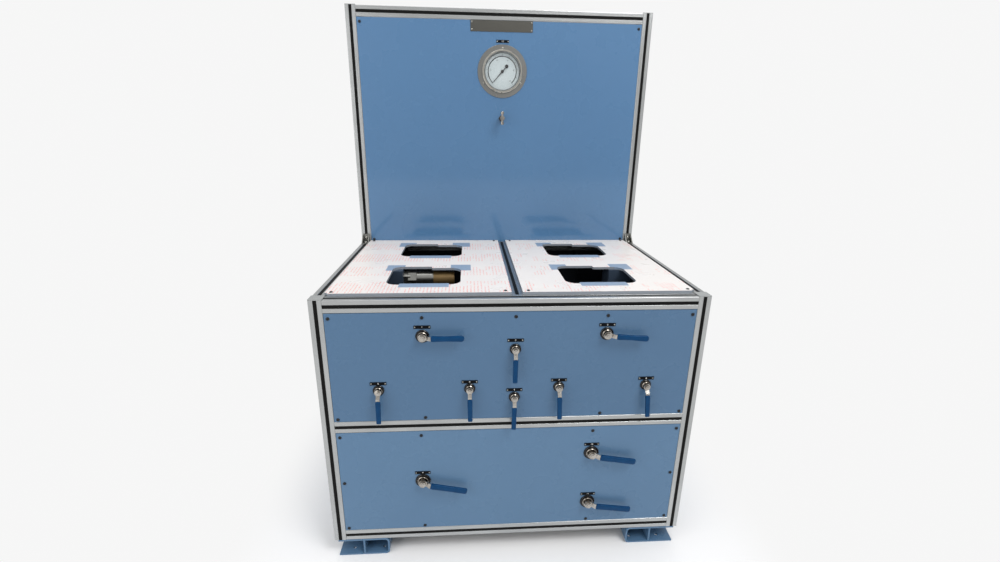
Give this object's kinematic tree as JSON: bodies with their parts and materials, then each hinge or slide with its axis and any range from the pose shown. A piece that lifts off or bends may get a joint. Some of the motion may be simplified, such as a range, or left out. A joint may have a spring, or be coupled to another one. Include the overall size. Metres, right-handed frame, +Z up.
{
  "type": "valve test bench",
  "caption": "Free-standing fluid test bench: slotted frame on skids, blue panels with lever ball valves, cut-out deck plates and a backboard with a round pressure gauge.",
  "frame": {"origin": "centre of the footprint, on the floor", "axes": "+X to the operator's right, -Y towards the operator, +Z up"},
  "size_m": [1.2, 0.8428, 1.8615],
  "materials": {
    "aluminium_profile": "natural anodised, satin",
    "slot_cover": "black extruded plastic strip",
    "grey_cap": "pale grey, moulded, fine grain",
    "bracket": "die-cast, bare",
    "zinc_steel": "zinc plated, bright",
    "black_screw": "black oxide, satin",
    "blue_panel": "blue-grey powder coat, satin",
    "frame_blue": "blue gloss paint",
    "film_white": "blue-grey plate under white protective film",
    "black_gloss": "black, glossy",
    "gauge_black": "black enamel",
    "flange_steel": "warm grey, satin",
    "dial_white": "matt white enamel",
    "clear_glass": "flat clear pane",
    "stainless": "turned and polished stainless steel",
    "tag_black": "black engraving laminate",
    "nameplate": "grey metal plate, satin, bare",
    "grip_blue": "dark blue moulded vinyl",
    "brass": "drawn tube, plain"
  },
  "bodies": {
    "bench": {"front_posts": "aluminium_profile", "rear_posts": "aluminium_profile", "cross_rails": "aluminium_profile", "side_rails": "aluminium_profile", "deck_divider_rail": "aluminium_profile", "slot_covers": "slot_cover", "post_caps": "grey_cap", "corner_brackets": "bracket", "left_skid": "frame_blue", "right_skid": "frame_blue", "upper_front_panel": "blue_panel", "lower_front_panel": "blue_panel", "backboard_panel": "blue_panel", "rear_panel": "blue_panel", "side_panels": "blue_panel", "floor_panel": "stainless", "left_deck_plate": "film_white", "right_deck_plate": "film_white", "panel_blocks": "zinc_steel", "gauge_case": "gauge_black", "gauge_flange": "flange_steel", "gauge_bezel": "flange_steel", "gauge_dial": "dial_white", "gauge_glass": "clear_glass", "gauge_line": "stainless", "bleed_valve_body": "stainless", "nameplate": "nameplate", "engraved_tags": "tag_black", "valve_bodies": "stainless", "valve_rings": "black_gloss", "pipework": "stainless", "station_blocks": "frame_blue", "station_coupling": "stainless", "station_pipe": "brass"},
    "valve_lever_1": {"lever_1": "stainless", "grip_1": "grip_blue"},
    "valve_lever_2": {"lever_2": "stainless", "grip_2": "grip_blue"},
    "valve_lever_3": {"lever_3": "stainless", "grip_3": "grip_blue"},
    "valve_lever_4": {"lever_4": "stainless", "grip_4": "grip_blue"},
    "valve_lever_5": {"lever_5": "stainless", "grip_5": "grip_blue"},
    "valve_lever_6": {"lever_6": "stainless", "grip_6": "grip_blue"},
    "valve_lever_7": {"lever_7": "stainless", "grip_7": "grip_blue"},
    "valve_lever_8": {"lever_8": "stainless", "grip_8": "grip_blue"},
    "valve_lever_9": {"lever_9": "stainless", "grip_9": "grip_blue"},
    "valve_lever_10": {"lever_10": "stainless", "grip_10": "grip_blue"},
    "valve_lever_11": {"lever_11": "stainless", "grip_11": "grip_blue"},
    "gauge_needle": {"gauge_pointer": "gauge_black"},
    "bleed_handle": {"bleed_valve_handle": "stainless"}
  },
  "joints": [
    {"name": "valve_1_turn", "type": "hinge", "parent": "bench", "child": "valve_lever_1", "pos_m": [-0.276, -0.4084, 0.82044], "axis": [0, 1, 0], "range_deg": [0, 90]},
    {"name": "valve_2_turn", "type": "hinge", "parent": "bench", "child": "valve_lever_2", "pos_m": [0.284, -0.4084, 0.82044], "axis": [0, 1, 0], "range_deg": [0, 90]},
    {"name": "valve_3_turn", "type": "hinge", "parent": "bench", "child": "valve_lever_3", "pos_m": [0.004, -0.4084, 0.77336], "axis": [0, -1, 0], "range_deg": [0, 90]},
    {"name": "valve_4_turn", "type": "hinge", "parent": "bench", "child": "valve_lever_4", "pos_m": [0.004, -0.4084, 0.60765], "axis": [0, -1, 0], "range_deg": [0, 90]},
    {"name": "valve_5_turn", "type": "hinge", "parent": "bench", "child": "valve_lever_5", "pos_m": [-0.416, -0.4084, 0.64087], "axis": [0, -1, 0], "range_deg": [0, 90]},
    {"name": "valve_6_turn", "type": "hinge", "parent": "bench", "child": "valve_lever_6", "pos_m": [-0.136, -0.4084, 0.64087], "axis": [0, -1, 0], "range_deg": [0, 90]},
    {"name": "valve_7_turn", "type": "hinge", "parent": "bench", "child": "valve_lever_7", "pos_m": [0.144, -0.4084, 0.64087], "axis": [0, -1, 0], "range_deg": [0, 90]},
    {"name": "valve_8_turn", "type": "hinge", "parent": "bench", "child": "valve_lever_8", "pos_m": [0.424, -0.4084, 0.64087], "axis": [0, -1, 0], "range_deg": [0, 90]},
    {"name": "valve_9_turn", "type": "hinge", "parent": "bench", "child": "valve_lever_9", "pos_m": [-0.292, -0.4084, 0.30081], "axis": [0, 1, 0], "range_deg": [0, 90]},
    {"name": "valve_10_turn", "type": "hinge", "parent": "bench", "child": "valve_lever_10", "pos_m": [0.266, -0.4084, 0.39013], "axis": [0, 1, 0], "range_deg": [0, 90]},
    {"name": "valve_11_turn", "type": "hinge", "parent": "bench", "child": "valve_lever_11", "pos_m": [0.266, -0.4084, 0.19109], "axis": [0, 1, 0], "range_deg": [0, 90]},
    {"name": "gauge_needle_turn", "type": "hinge", "parent": "bench", "child": "gauge_needle", "pos_m": [0.004, 0.3594, 1.635], "axis": [0, 1, 0], "range_deg": [0, 276]},
    {"name": "bleed_valve_turn", "type": "hinge", "parent": "bench", "child": "bleed_handle", "pos_m": [0.004, 0.3174, 1.457], "axis": [0, 1, 0], "continuous": true}
  ]
}
